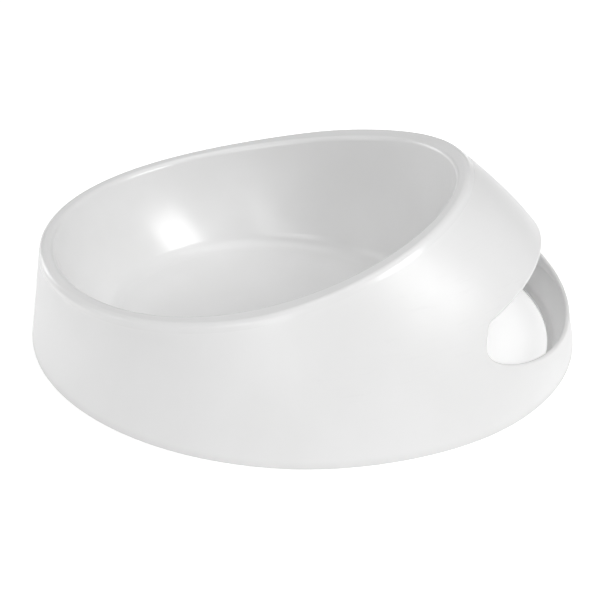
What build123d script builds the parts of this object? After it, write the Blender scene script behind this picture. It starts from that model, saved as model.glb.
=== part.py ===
from build123d import *
from math import cos, pi, radians, sin, sqrt, tan
import os

# Handled bowl: a round dish with a sloping rim, set in a hollow outer shell whose high side
# carries a finger slot and a handle band.  Millimetres, +Z up, origin on the table at the
# centre of the base, handle towards +X, symmetric about the XZ plane.

# ---- driving dimensions -------------------------------------------------------------------
base_radius = 130.0
wall = 2.3
skirt_clearance = 0.4        # the skirt stops this far above the table, the pads carry the bowl

# Outer wall: a circle at the base that leans inwards with height, most of all at the sides.
lean_low_end = 0.096         # inward travel per millimetre of height
lean_high_end = 0.160
lean_side = 0.436

# Shoulder: a cambered ridge that slopes down towards the handle.
ridge_height = 132.7         # height of the ridge line above the origin
ridge_slope = 0.640          # fall per millimetre along +X
ridge_camber = 0.00405       # drop per square millimetre to either side
blend_width = 44.5           # plan width over which the wall turns into the shoulder

form_top = 104.0
form_levels = 13
form_points = 40

# Rim: a sagging line in side view, through these three heights of the mouth.
mouth_radius = 94.6
mouth_x = -24.6
rim_low = 44.1
rim_middle = 54.6
rim_high = 82.6
rim_depth = 3.8              # depth of the rim's outer lip, down to the seam with the shell
rim_outer_fillet = 2.8
rim_inner_fillet = 2.4

# Dish: (height, centre x, radius) of three circles of the inner face.
floor_height = 3.9
dish_rings = (
    (floor_height, -15.3, 77.9),
    (42.9, -26.8, 92.4),
    (96.0, -27.0, 98.9),
)
floor_fillet = 10.0
floor_thickness = 2.3

# Finger slot and handle band.
hood_radius = 111.4          # plan radius of the hood's edge
slot_end_x = 92.2
slot_end_rise = 21.2         # the slot's lower edge at its end, above the band's height
slot_bend_rise = 12.1        # where that edge would turn, straight below its end
slot_run = 11.8              # how far the turned edge runs before it slopes to the back
slot_run_rise = 8.2
slot_overrun = 20.0          # the cut goes on past the back of the bowl
slot_overrun_drop = 4.0
slot_corner_fillet = 8.0
slot_edge_fillet = 1.0
band_height = 15.9           # at the back of the bowl
band_thickness = 2.3
lip_radius = 117.8           # inner edge of the band's foot, in plan
lip_height = 1.6
lip_width = 2.2
skin_slope = 0.334           # outward travel of the band's inner skin per millimetre of height
skin_top = 45.0
slot_half_angle = 40.0       # half the plan angle that the inner skin spans
band_end_angle = 1.5

# Rubber pads under the dish's floor.
pad_radius = 9.0
pad_seat_depth = 0.8
pad_edge_fillet = 0.4
pad_top = floor_height - floor_thickness + pad_seat_depth
pad_circle_radius = 58.0
pad_angles = (45, 135, 225, 315)
pad_places = [
    (dish_rings[0][1] + pad_circle_radius * cos(radians(a)), pad_circle_radius * sin(radians(a)))
    for a in pad_angles
]

reach = 3 * base_radius      # larger than the bowl in every direction
match_tolerance = 0.01
seam_tolerance = 0.1
edge_samples = (0, 0.37, 0.74)


def rim_height(x, drop=0.0):
    """Height of the rim's top face at x: a parabola through the mouth's three heights."""
    u = (x - mouth_x) / mouth_radius
    tilt = (rim_high - rim_low) / 2
    sag = (rim_high + rim_low) / 2 - rim_middle
    return rim_middle + tilt * u + sag * u * u - drop


def parabola_handle(height, x0, x1):
    """Middle control point of the quadratic Bezier that follows a parabola from x0 to x1."""
    middle = (x0 + x1) / 2
    return middle, 2 * height(middle) - (height(x0) + height(x1)) / 2


def form_radius(angle, height, inset):
    """Plan radius of the outer form, drawn in by inset, at an angle from the handle and a height."""
    along = cos(angle)
    across = sin(angle)
    lean_end = lean_low_end + (lean_high_end - lean_low_end) * (1 + along) / 2
    wall_radius = base_radius - inset - height * (lean_end * along**2 + lean_side * across**2)
    depth = ridge_height - inset * sqrt(1 + ridge_slope**2) - height
    root = sqrt((ridge_slope * along) ** 2 + 4 * ridge_camber * across**2 * depth)
    shoulder_radius = 2 * depth / max(ridge_slope * along + root, match_tolerance)
    overlap = max(blend_width - abs(wall_radius - shoulder_radius), 0) / blend_width
    return min(wall_radius, shoulder_radius) - overlap**2 * blend_width / 4


def drum(inset):
    """Wall and shoulder as one smooth closed form, drawn in by inset."""
    with BuildPart() as body:
        for level in range(form_levels):
            height = form_top * level / (form_levels - 1)
            angles = [2 * pi * i / form_points for i in range(form_points)]
            radii = [form_radius(angle, height, inset) for angle in angles]
            with BuildSketch(Plane.XY.offset(height)):
                with BuildLine():
                    Spline([(r * cos(a), r * sin(a)) for r, a in zip(radii, angles)], periodic=True)
                make_face()
        loft()
    return body.part


def dish(growth, bottom):
    """Solid of the dish: lofted circles grown by growth, with its underside at bottom."""
    with BuildPart() as body:
        for index, (height, x, radius) in enumerate(dish_rings):
            with BuildSketch(Plane.XY.offset(bottom if index == 0 else height)):
                with Locations((x, 0)):
                    Circle(radius + growth)
        loft()
        fillet(body.edges().sort_by(Axis.Z)[0], floor_fillet + growth)
    return body.part


def above_rim(drop):
    """Everything above the rim's top face lowered by drop."""
    handle = parabola_handle(lambda x: rim_height(x, drop), -reach / 2, reach / 2)
    low_end = (-reach / 2, rim_height(-reach / 2, drop))
    high_end = (reach / 2, rim_height(reach / 2, drop))
    with BuildPart() as space:
        with BuildSketch(Plane.XZ):
            with BuildLine():
                Bezier(low_end, handle, high_end)
                Polyline(high_end, (reach / 2, reach), (-reach / 2, reach), low_end)
            make_face()
        extrude(amount=reach, both=True)
    return space.part


def finger_slot():
    """Space above the band's top edge and outside the hood's edge."""
    slot_end = (slot_end_x, band_height + slot_end_rise)
    slot_back = (base_radius, band_height)
    corner_y = sqrt(hood_radius**2 - slot_end_x**2)
    with BuildPart() as space:
        with BuildSketch(Plane.XZ):
            with BuildLine():
                Bezier(
                    slot_end,
                    (slot_end_x, band_height + slot_bend_rise),
                    (slot_end_x + slot_run, band_height + slot_run_rise),
                    slot_back,
                )
                Polyline(
                    slot_back,
                    (base_radius + slot_overrun, band_height - slot_overrun_drop),
                    (base_radius + slot_overrun, base_radius),
                    (slot_end_x, base_radius),
                    slot_end,
                )
            make_face()
        extrude(amount=reach, both=True)
        Cylinder(hood_radius, reach, mode=Mode.SUBTRACT)
        uprights = space.edges().filter_by(Axis.Z)
        corners = uprights.filter_by(lambda e: abs(abs(e.center().Y) - corner_y) < 1)
        fillet(corners, slot_corner_fillet)
    return space.part


def band_sector(half_angle):
    """Wedge of the plan around the handle."""
    with BuildPart() as wedge:
        with BuildSketch(Plane.XY):
            with BuildLine():
                Polyline(
                    (0, 0),
                    (reach, -reach * tan(radians(half_angle))),
                    (reach, reach * tan(radians(half_angle))),
                    close=True,
                )
            make_face()
        extrude(amount=form_top)
    return wedge.part


def outside_skin(foot, shelf):
    """Ring of space outside the band's inner skin, which curves up from a small foot lip."""
    corner = foot + lip_width
    skin_length = (1 + skin_slope**2) ** 0.5
    curve_end = (corner + lip_width * skin_slope / skin_length, shelf + lip_width / skin_length)
    skin_end = (corner + skin_slope * skin_top, shelf + skin_top)
    with BuildPart() as ring:
        with BuildSketch(Plane.XZ):
            with BuildLine():
                TangentArc((foot, shelf), curve_end, tangent=(1, 0))
                Polyline(
                    curve_end,
                    skin_end,
                    (reach, shelf + skin_top),
                    (reach, -wall),
                    (foot, -wall),
                    (foot, shelf),
                )
            make_face()
        revolve(axis=Axis.Z)
    return ring.part


def on_rim(edge):
    """True for an edge that lies in the rim's top face."""
    points = [edge @ sample for sample in edge_samples]
    return all(abs(point.Z - rim_height(point.X)) < match_tolerance for point in points)


def off_centre(edge):
    """True for an edge that isn't the seam where a surface closes on the XZ plane."""
    return abs((edge @ 0).Y) + abs((edge @ 1).Y) > seam_tolerance


os.makedirs("parts", exist_ok=True)

outer_form = drum(0)
inner_form = drum(wall)
over_rim = above_rim(0)
over_seam = above_rim(rim_depth)
over_rim_plate = above_rim(wall)
dish_inside = dish(0, floor_height)
dish_outside = dish(wall, floor_height - floor_thickness)

# ---- outer shell: skirt, shoulder, hood and handle band ------------------------------------
with BuildPart() as band_block:
    add(outer_form)
    add(outside_skin(lip_radius, lip_height), mode=Mode.INTERSECT)
    add(band_sector(slot_half_angle), mode=Mode.INTERSECT)

with BuildPart() as band_hollow:
    add(inner_form)
    add(outside_skin(lip_radius + band_thickness, lip_height - band_thickness), mode=Mode.INTERSECT)
    add(band_sector(slot_half_angle - band_end_angle), mode=Mode.INTERSECT)

with BuildPart() as outer_shell:
    add(outer_form)
    add(inner_form, mode=Mode.SUBTRACT)
    add(band_block.part)
    add(band_hollow.part, mode=Mode.SUBTRACT)
    add(over_seam, mode=Mode.SUBTRACT)
    Box(reach, reach, 2 * skirt_clearance, mode=Mode.SUBTRACT)
    add(finger_slot(), mode=Mode.SUBTRACT)
    slot_edges = outer_shell.edges(Select.LAST).filter_by(off_centre).sort_by(Axis.Y)
    fillet(slot_edges, slot_edge_fillet)
outer_shell.part.label = "outer_shell"
export_step(outer_shell.part, "parts/outer_shell.step")

# ---- bowl: dish and rim, one moulding --------------------------------------------------------
with BuildPart() as under_seam:
    add(outer_form)
    add(over_seam, mode=Mode.SUBTRACT)

with BuildPart() as rim_underside:
    add(inner_form)
    add(over_rim_plate, mode=Mode.SUBTRACT)
    add(under_seam.part)
    add(dish_outside, mode=Mode.SUBTRACT)

with BuildPart() as bowl:
    add(outer_form)
    add(over_rim, mode=Mode.SUBTRACT)
    rim_edges = bowl.edges().filter_by(on_rim)
    fillet(rim_edges, rim_outer_fillet)
    add(rim_underside.part, mode=Mode.SUBTRACT)
    add(dish_inside, mode=Mode.SUBTRACT)
    mouth_edges = bowl.edges(Select.LAST).filter_by(on_rim).sort_by(Axis.Y)
    fillet(mouth_edges, rim_inner_fillet)
    with Locations(*pad_places):
        Cylinder(
            pad_radius,
            pad_top,
            align=(Align.CENTER, Align.CENTER, Align.MIN),
            mode=Mode.SUBTRACT,
        )
bowl.part.label = "bowl"
export_step(bowl.part, "parts/bowl.step")

# ---- rubber pads: four alike, pressed into the seats under the dish --------------------------
for number, (x, y) in enumerate(pad_places, start=1):
    with BuildPart() as pad:
        with BuildSketch(Plane.XY):
            with Locations((x, y)):
                Circle(pad_radius)
        extrude(amount=pad_top)
        fillet(pad.edges().sort_by(Axis.Z)[0], pad_edge_fillet)
    pad.part.label = f"foot_pad_{number}"
    export_step(pad.part, f"parts/foot_pad_{number}.step")
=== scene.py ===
from math import pi, radians

import bpy
from mathutils import Matrix, Vector


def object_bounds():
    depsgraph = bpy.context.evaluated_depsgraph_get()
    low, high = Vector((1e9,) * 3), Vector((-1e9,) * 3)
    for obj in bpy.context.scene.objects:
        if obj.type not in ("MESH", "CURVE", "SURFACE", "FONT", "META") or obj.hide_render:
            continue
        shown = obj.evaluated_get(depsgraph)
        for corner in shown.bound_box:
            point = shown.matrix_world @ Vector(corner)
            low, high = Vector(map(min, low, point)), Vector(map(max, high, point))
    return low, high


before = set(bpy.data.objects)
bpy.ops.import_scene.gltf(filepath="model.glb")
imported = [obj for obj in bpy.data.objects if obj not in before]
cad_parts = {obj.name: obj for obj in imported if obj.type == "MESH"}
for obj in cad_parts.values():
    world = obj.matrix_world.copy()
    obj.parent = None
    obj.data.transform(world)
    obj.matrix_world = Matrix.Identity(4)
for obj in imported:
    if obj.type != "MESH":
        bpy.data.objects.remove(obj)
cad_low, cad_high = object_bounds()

# A white plastic bowl in a satin outer shell.  Metres, +Z up, the handle band at +X.

BASE_RADIUS = (cad_high.x - cad_low.x) / 2

# ---- camera ------------------------------------------------------------------------------------
CAMERA_AZIMUTH = radians(8.12)
CAMERA_ELEVATION = radians(27.82)
CAMERA_ROLL = radians(1.14)
CAMERA_DISTANCE = 8.0 * BASE_RADIUS
CAMERA_SHIFT_RIGHT = -0.012 * BASE_RADIUS
CAMERA_SHIFT_UP = 0.0982 * BASE_RADIUS
CAMERA_LENS = 128.9
SENSOR_WIDTH = 36.0

# ---- lamps: position, target, width, height, power -------------------------------------------
LOOK_AT = (0, 0, 0.04)
LAMPS = {
    "overhead": ((0.10, 0.20, 1.60), LOOK_AT, 1.4, 1.2, 9.0),
    "right_window": ((1.48, -0.34, 1.18), LOOK_AT, 0.80, 0.62, 14.4),
    "left_strip": ((-1.50, 1.00, 0.35), LOOK_AT, 0.5, 0.8, 5.0),
    "front_fill": ((-0.20, -1.60, 1.10), LOOK_AT, 1.4, 0.9, 11.0),
    "left_fill": ((-1.70, -0.30, 0.75), LOOK_AT, 0.9, 0.9, 4.2),
}
WORLD_LIGHT = 0.18
FLOOR_GLOW = 0.36            # keeps the floor white under the band, where the lamps don't reach
FLOOR_SPAN = 60 * BASE_RADIUS

# ---- colours, linear --------------------------------------------------------------------------
SHELL_WHITE = (0.785, 0.785, 0.785, 1)
SHELL_SHADE = (0.755, 0.755, 0.753, 1)
BOWL_WHITE = (0.80, 0.80, 0.80, 1)
BOWL_SHADE = (0.775, 0.775, 0.773, 1)
RUBBER_GREY = (0.36, 0.36, 0.355, 1)
RUBBER_DARK = (0.30, 0.30, 0.295, 1)
FLOOR_WHITE = (0.93, 0.93, 0.93, 1)
# painted shade: the grey that the lowest few millimetres of the shell are darkened towards, a
# painted contact shadow
BASE_SHADOW_GREY = (0.66, 0.66, 0.655, 1)
SCUFF_GREY = (0.70, 0.70, 0.70, 1)
PURE_WHITE = (1, 1, 1, 1)

# ---- finishes: noise scales are cells per metre, bump heights are in metres --------------------
PLASTIC_IOR = 1.49
SHADE_BAND = (0.35, 0.7)     # the noise values over which one shade turns into the other
GLOSS_BAND = (0.3, 0.75)     # and those over which the roughness changes
WIPING_BAND = (0.3, 0.8)
SHELL_ROUGHNESS = (0.31, 0.38)
BOWL_ROUGHNESS = (0.20, 0.27)
RUBBER_ROUGHNESS = (0.68, 0.85)
FLOOR_ROUGHNESS = 0.9
# height of the painted contact shadow along the shell's base edge
BASE_SHADOW_HEIGHT = 0.004
SHELL_CLOUD_SCALE = 14
BOWL_CLOUD_SCALE = 18
RUBBER_CLOUD_SCALE = 180
SCRATCH_SCALE, SCRATCH_STRETCH = 60, (1, 1, 14)
SCUFF_PATCH_SCALE = 9
WIPING_SCALE, WIPING_STRETCH = 140, (1, 9, 1)
GRAIN_SCALE, GRAIN_HEIGHT = 2200, 0.00003
SHELL_WAVE_SCALE, SHELL_WAVE_HEIGHT = 26, 0.00006
BOWL_WAVE_SCALE, BOWL_WAVE_HEIGHT = 22, 0.00008
WIPING_HEIGHT = 0.000004
RUBBER_GRAIN_SCALE, RUBBER_GRAIN_HEIGHT = 1800, 0.00004


def aim(position, target):
    """Matrix of a lamp at position whose light goes towards target."""
    direction = (Vector(target) - Vector(position)).normalized()
    return Matrix.Translation(position) @ direction.to_track_quat("-Z", "Y").to_matrix().to_4x4()


def make_camera():
    data = bpy.data.cameras.new("camera")
    data.lens = CAMERA_LENS
    data.sensor_width = SENSOR_WIDTH
    camera = bpy.data.objects.new("camera", data)
    bpy.context.scene.collection.objects.link(camera)
    turn = (
        Matrix.Rotation(CAMERA_AZIMUTH, 4, "Z")
        @ Matrix.Rotation(pi / 2 - CAMERA_ELEVATION, 4, "X")
    )
    offset = Vector((CAMERA_SHIFT_RIGHT, CAMERA_SHIFT_UP, CAMERA_DISTANCE))
    place = Matrix.Translation(turn.to_3x3() @ offset)
    camera.matrix_world = place @ turn @ Matrix.Rotation(CAMERA_ROLL, 4, "Z")
    bpy.context.scene.camera = camera


def softbox(name, position, target, width, height, power):
    data = bpy.data.lights.new(name, "AREA")
    data.shape = "RECTANGLE"
    data.size = width
    data.size_y = height
    data.energy = power
    lamp = bpy.data.objects.new(name, data)
    bpy.context.scene.collection.objects.link(lamp)
    lamp.matrix_world = aim(position, target)


def make_world(strength):
    world = bpy.data.worlds.new("studio")
    bpy.context.scene.world = world
    world.use_nodes = True
    background = world.node_tree.nodes["Background"]
    background.inputs["Color"].default_value = PURE_WHITE
    background.inputs["Strength"].default_value = strength


# ---- materials --------------------------------------------------------------------------------
class Recipe:
    """A material whose nodes are added by short calls."""

    def __init__(self, name):
        self.material = bpy.data.materials.new(name)
        self.material.use_nodes = True
        self.tree = self.material.node_tree
        self.shader = self.tree.nodes["Principled BSDF"]
        self.place = self.tree.nodes.new("ShaderNodeTexCoord").outputs["Object"]

    def join(self, source, target):
        self.tree.links.new(source, target)

    def noise(self, scale, detail=2.0, stretch=(1, 1, 1)):
        mapping = self.tree.nodes.new("ShaderNodeMapping")
        mapping.inputs["Scale"].default_value = stretch
        self.join(self.place, mapping.inputs["Vector"])
        node = self.tree.nodes.new("ShaderNodeTexNoise")
        node.inputs["Scale"].default_value = scale
        node.inputs["Detail"].default_value = detail
        self.join(mapping.outputs["Vector"], node.inputs["Vector"])
        return node.outputs["Fac"]

    def remap(self, source, low, high, out_low=0.0, out_high=1.0):
        node = self.tree.nodes.new("ShaderNodeMapRange")
        node.interpolation_type = "SMOOTHSTEP"
        node.inputs["From Min"].default_value = low
        node.inputs["From Max"].default_value = high
        node.inputs["To Min"].default_value = out_low
        node.inputs["To Max"].default_value = out_high
        self.join(source, node.inputs["Value"])
        return node.outputs["Result"]

    def combine(self, operation, first, second):
        node = self.tree.nodes.new("ShaderNodeMath")
        node.operation = operation
        for socket, value in zip(node.inputs, (first, second)):
            if isinstance(value, (int, float)):
                socket.default_value = value
            else:
                self.join(value, socket)
        return node.outputs["Value"]

    def blend(self, factor, first, second):
        node = self.tree.nodes.new("ShaderNodeMix")
        node.data_type = "RGBA"
        self.join(factor, node.inputs["Factor"])
        for socket, value in ((node.inputs[6], first), (node.inputs[7], second)):
            if isinstance(value, tuple):
                socket.default_value = value
            else:
                self.join(value, socket)
        return node.outputs[2]

    def height(self):
        node = self.tree.nodes.new("ShaderNodeSeparateXYZ")
        self.join(self.place, node.inputs["Vector"])
        return node.outputs["Z"]

    def bump(self, source, distance, strength=1.0, below=None):
        node = self.tree.nodes.new("ShaderNodeBump")
        node.inputs["Distance"].default_value = distance
        node.inputs["Strength"].default_value = strength
        self.join(source, node.inputs["Height"])
        if below is not None:
            self.join(below, node.inputs["Normal"])
        return node.outputs["Normal"]

    def finish(self, colour, roughness, normal):
        self.join(colour, self.shader.inputs["Base Color"])
        self.join(roughness, self.shader.inputs["Roughness"])
        self.join(normal, self.shader.inputs["Normal"])
        return self.material


def shell_plastic():
    """Satin white with a very fine spark grain, faint scuffs and painted shade along the base
    edge.
    """
    recipe = Recipe("shell_plastic")
    recipe.shader.inputs["IOR"].default_value = PLASTIC_IOR
    cloud = recipe.noise(SHELL_CLOUD_SCALE, 3)
    colour = recipe.blend(recipe.remap(cloud, *SHADE_BAND), SHELL_WHITE, SHELL_SHADE)
    # painted shade: the colour darkens towards grey over the lowest 4 mm of the shell as a
    # painted contact shadow; the roughness also rises there
    base_shadow = recipe.remap(recipe.height(), 0.0, BASE_SHADOW_HEIGHT, 1.0, 0.0)
    colour = recipe.blend(recipe.combine("MULTIPLY", base_shadow, 0.5), colour, BASE_SHADOW_GREY)
    scratches = recipe.noise(SCRATCH_SCALE, 4, SCRATCH_STRETCH)
    scuff = recipe.remap(scratches, 0.60, 0.72)
    patch = recipe.remap(recipe.noise(SCUFF_PATCH_SCALE, 1), 0.50, 0.68)
    scuff = recipe.combine("MULTIPLY", scuff, patch)
    colour = recipe.blend(recipe.combine("MULTIPLY", scuff, 0.25), colour, SCUFF_GREY)
    roughness = recipe.remap(cloud, *GLOSS_BAND, *SHELL_ROUGHNESS)
    roughness = recipe.combine("ADD", roughness, recipe.combine("MULTIPLY", scuff, 0.10))
    roughness = recipe.combine("ADD", roughness, recipe.combine("MULTIPLY", base_shadow, 0.15))
    grain = recipe.bump(recipe.noise(GRAIN_SCALE, 2), GRAIN_HEIGHT, 0.7)
    waves = recipe.bump(recipe.noise(SHELL_WAVE_SCALE, 1), SHELL_WAVE_HEIGHT, 0.5, grain)
    return recipe.finish(colour, roughness, waves)


def bowl_plastic():
    """Smooth semi-gloss white with faint mould waviness and hair-fine wiping marks."""
    recipe = Recipe("bowl_plastic")
    recipe.shader.inputs["IOR"].default_value = PLASTIC_IOR
    cloud = recipe.noise(BOWL_CLOUD_SCALE, 3)
    colour = recipe.blend(recipe.remap(cloud, *SHADE_BAND), BOWL_WHITE, BOWL_SHADE)
    wiping = recipe.noise(WIPING_SCALE, 3, WIPING_STRETCH)
    roughness = recipe.remap(wiping, *WIPING_BAND, *BOWL_ROUGHNESS)
    waves = recipe.bump(recipe.noise(BOWL_WAVE_SCALE, 1), BOWL_WAVE_HEIGHT, 0.5)
    marks = recipe.bump(wiping, WIPING_HEIGHT, 0.4, waves)
    return recipe.finish(colour, roughness, marks)


def pad_rubber():
    """Matt grey rubber, faintly mottled and finely grained."""
    recipe = Recipe("pad_rubber")
    cloud = recipe.noise(RUBBER_CLOUD_SCALE, 4)
    colour = recipe.blend(recipe.remap(cloud, *SHADE_BAND), RUBBER_GREY, RUBBER_DARK)
    roughness = recipe.remap(cloud, *GLOSS_BAND, *RUBBER_ROUGHNESS)
    grain = recipe.bump(recipe.noise(RUBBER_GRAIN_SCALE, 3), RUBBER_GRAIN_HEIGHT, 0.7)
    return recipe.finish(colour, roughness, grain)


def studio_floor():
    """Plain pale floor with a faint glow of its own."""
    recipe = Recipe("studio_floor")
    recipe.shader.inputs["Emission Color"].default_value = PURE_WHITE
    recipe.shader.inputs["Emission Strength"].default_value = FLOOR_GLOW
    recipe.shader.inputs["Base Color"].default_value = FLOOR_WHITE
    recipe.shader.inputs["Roughness"].default_value = FLOOR_ROUGHNESS
    return recipe.material


def dress(node, material):
    """Gives a CAD node its finish."""
    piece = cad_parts[node]
    piece.data.materials.clear()
    piece.data.materials.append(material)


def make_floor(size, material):
    mesh = bpy.data.meshes.new("floor")
    half = size / 2
    corners = [(-half, -half, 0), (half, -half, 0), (half, half, 0), (-half, half, 0)]
    mesh.from_pydata(corners, [], [(0, 1, 2, 3)])
    mesh.materials.append(material)
    floor = bpy.data.objects.new("floor", mesh)
    bpy.context.scene.collection.objects.link(floor)


make_camera()
bpy.context.scene.view_settings.view_transform = "Standard"

make_floor(FLOOR_SPAN, studio_floor())
make_world(WORLD_LIGHT)
for name, settings in LAMPS.items():
    softbox(name, *settings)

dress("outer_shell", shell_plastic())
dress("bowl", bowl_plastic())
rubber = pad_rubber()
for node in sorted(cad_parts):
    if node.startswith("foot_pad"):
        dress(node, rubber)
